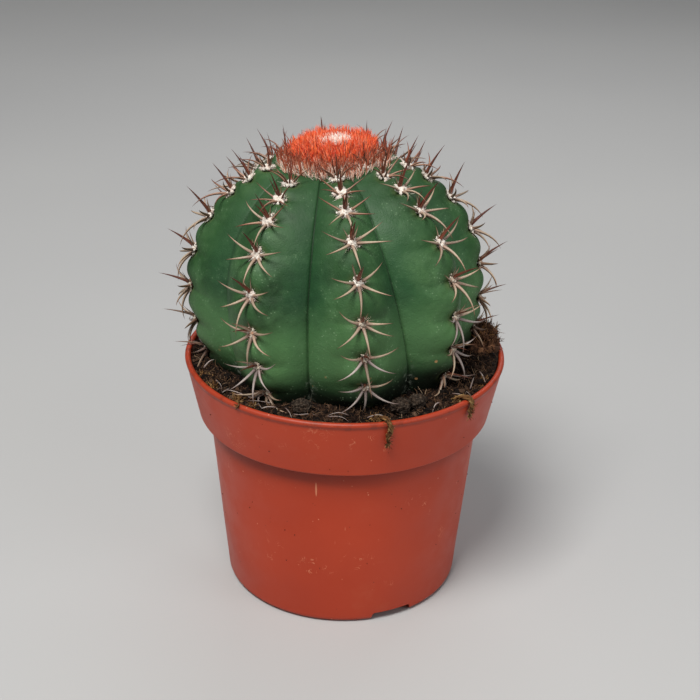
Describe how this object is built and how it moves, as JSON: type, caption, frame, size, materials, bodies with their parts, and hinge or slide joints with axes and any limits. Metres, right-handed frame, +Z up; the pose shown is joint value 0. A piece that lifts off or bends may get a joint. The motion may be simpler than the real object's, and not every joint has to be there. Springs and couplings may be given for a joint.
{
  "type": "potted round cactus",
  "caption": "Round ribbed cactus with rows of spines and a red bristly crown, growing in soil in a round terracotta-coloured nursery pot.",
  "frame": {"origin": "on the surface the pot stands on, under the middle of the whole footprint with the spines; the pot's own axis is at x 3.0 mm, y -1.8 mm", "axes": "+Z up; the front, with the lowest full row of spines and the foot notch just right of it, faces -Y; +X is to the right seen from the front"},
  "size_m": [0.1185, 0.1176, 0.1579],
  "materials": {
    "terracotta_plastic": "satin, slightly dusty",
    "cactus_skin": "satin",
    "spines": "satin, pale shafts with red-brown roots and dark tips, in white wool",
    "crown_bristles": "dense soft bristles with white wool",
    "peat_soil": "rough, granular",
    "dry_moss": "rough, fibrous"
  },
  "bodies": {
    "root": {"pot": "terracotta_plastic", "stem": "cactus_skin", "crown": "crown_bristles", "soil": "peat_soil", "peat_clod_1": "peat_soil", "peat_clod_2": "peat_soil", "peat_clod_3": "peat_soil", "moss_clump": "dry_moss", "moss_strand_front": "dry_moss", "moss_strand_right": "dry_moss", "spines_rib1_1": "spines", "spines_rib1_2": "spines", "spines_rib1_3": "spines", "spines_rib1_4": "spines", "spines_rib1_5": "spines", "spines_rib1_6": "spines", "spines_rib2_1": "spines", "spines_rib2_2": "spines", "spines_rib2_3": "spines", "spines_rib2_4": "spines", "spines_rib2_5": "spines", "spines_rib2_6": "spines", "spines_rib3_1": "spines", "spines_rib3_2": "spines", "spines_rib3_3": "spines", "spines_rib3_4": "spines", "spines_rib3_5": "spines", "spines_rib3_6": "spines", "spines_rib4_1": "spines", "spines_rib4_2": "spines", "spines_rib4_3": "spines", "spines_rib4_4": "spines", "spines_rib4_5": "spines", "spines_rib4_6": "spines", "spines_rib5_1": "spines", "spines_rib5_2": "spines", "spines_rib5_3": "spines", "spines_rib5_4": "spines", "spines_rib5_5": "spines", "spines_rib5_6": "spines", "spines_rib6_1": "spines", "spines_rib6_2": "spines", "spines_rib6_3": "spines", "spines_rib6_4": "spines", "spines_rib6_5": "spines", "spines_rib6_6": "spines", "spines_rib7_1": "spines", "spines_rib7_2": "spines", "spines_rib7_3": "spines", "spines_rib7_4": "spines", "spines_rib7_5": "spines", "spines_rib7_6": "spines", "spines_rib8_1": "spines", "spines_rib8_2": "spines", "spines_rib8_3": "spines", "spines_rib8_4": "spines", "spines_rib8_5": "spines", "spines_rib8_6": "spines"}
  },
  "joints": []
}
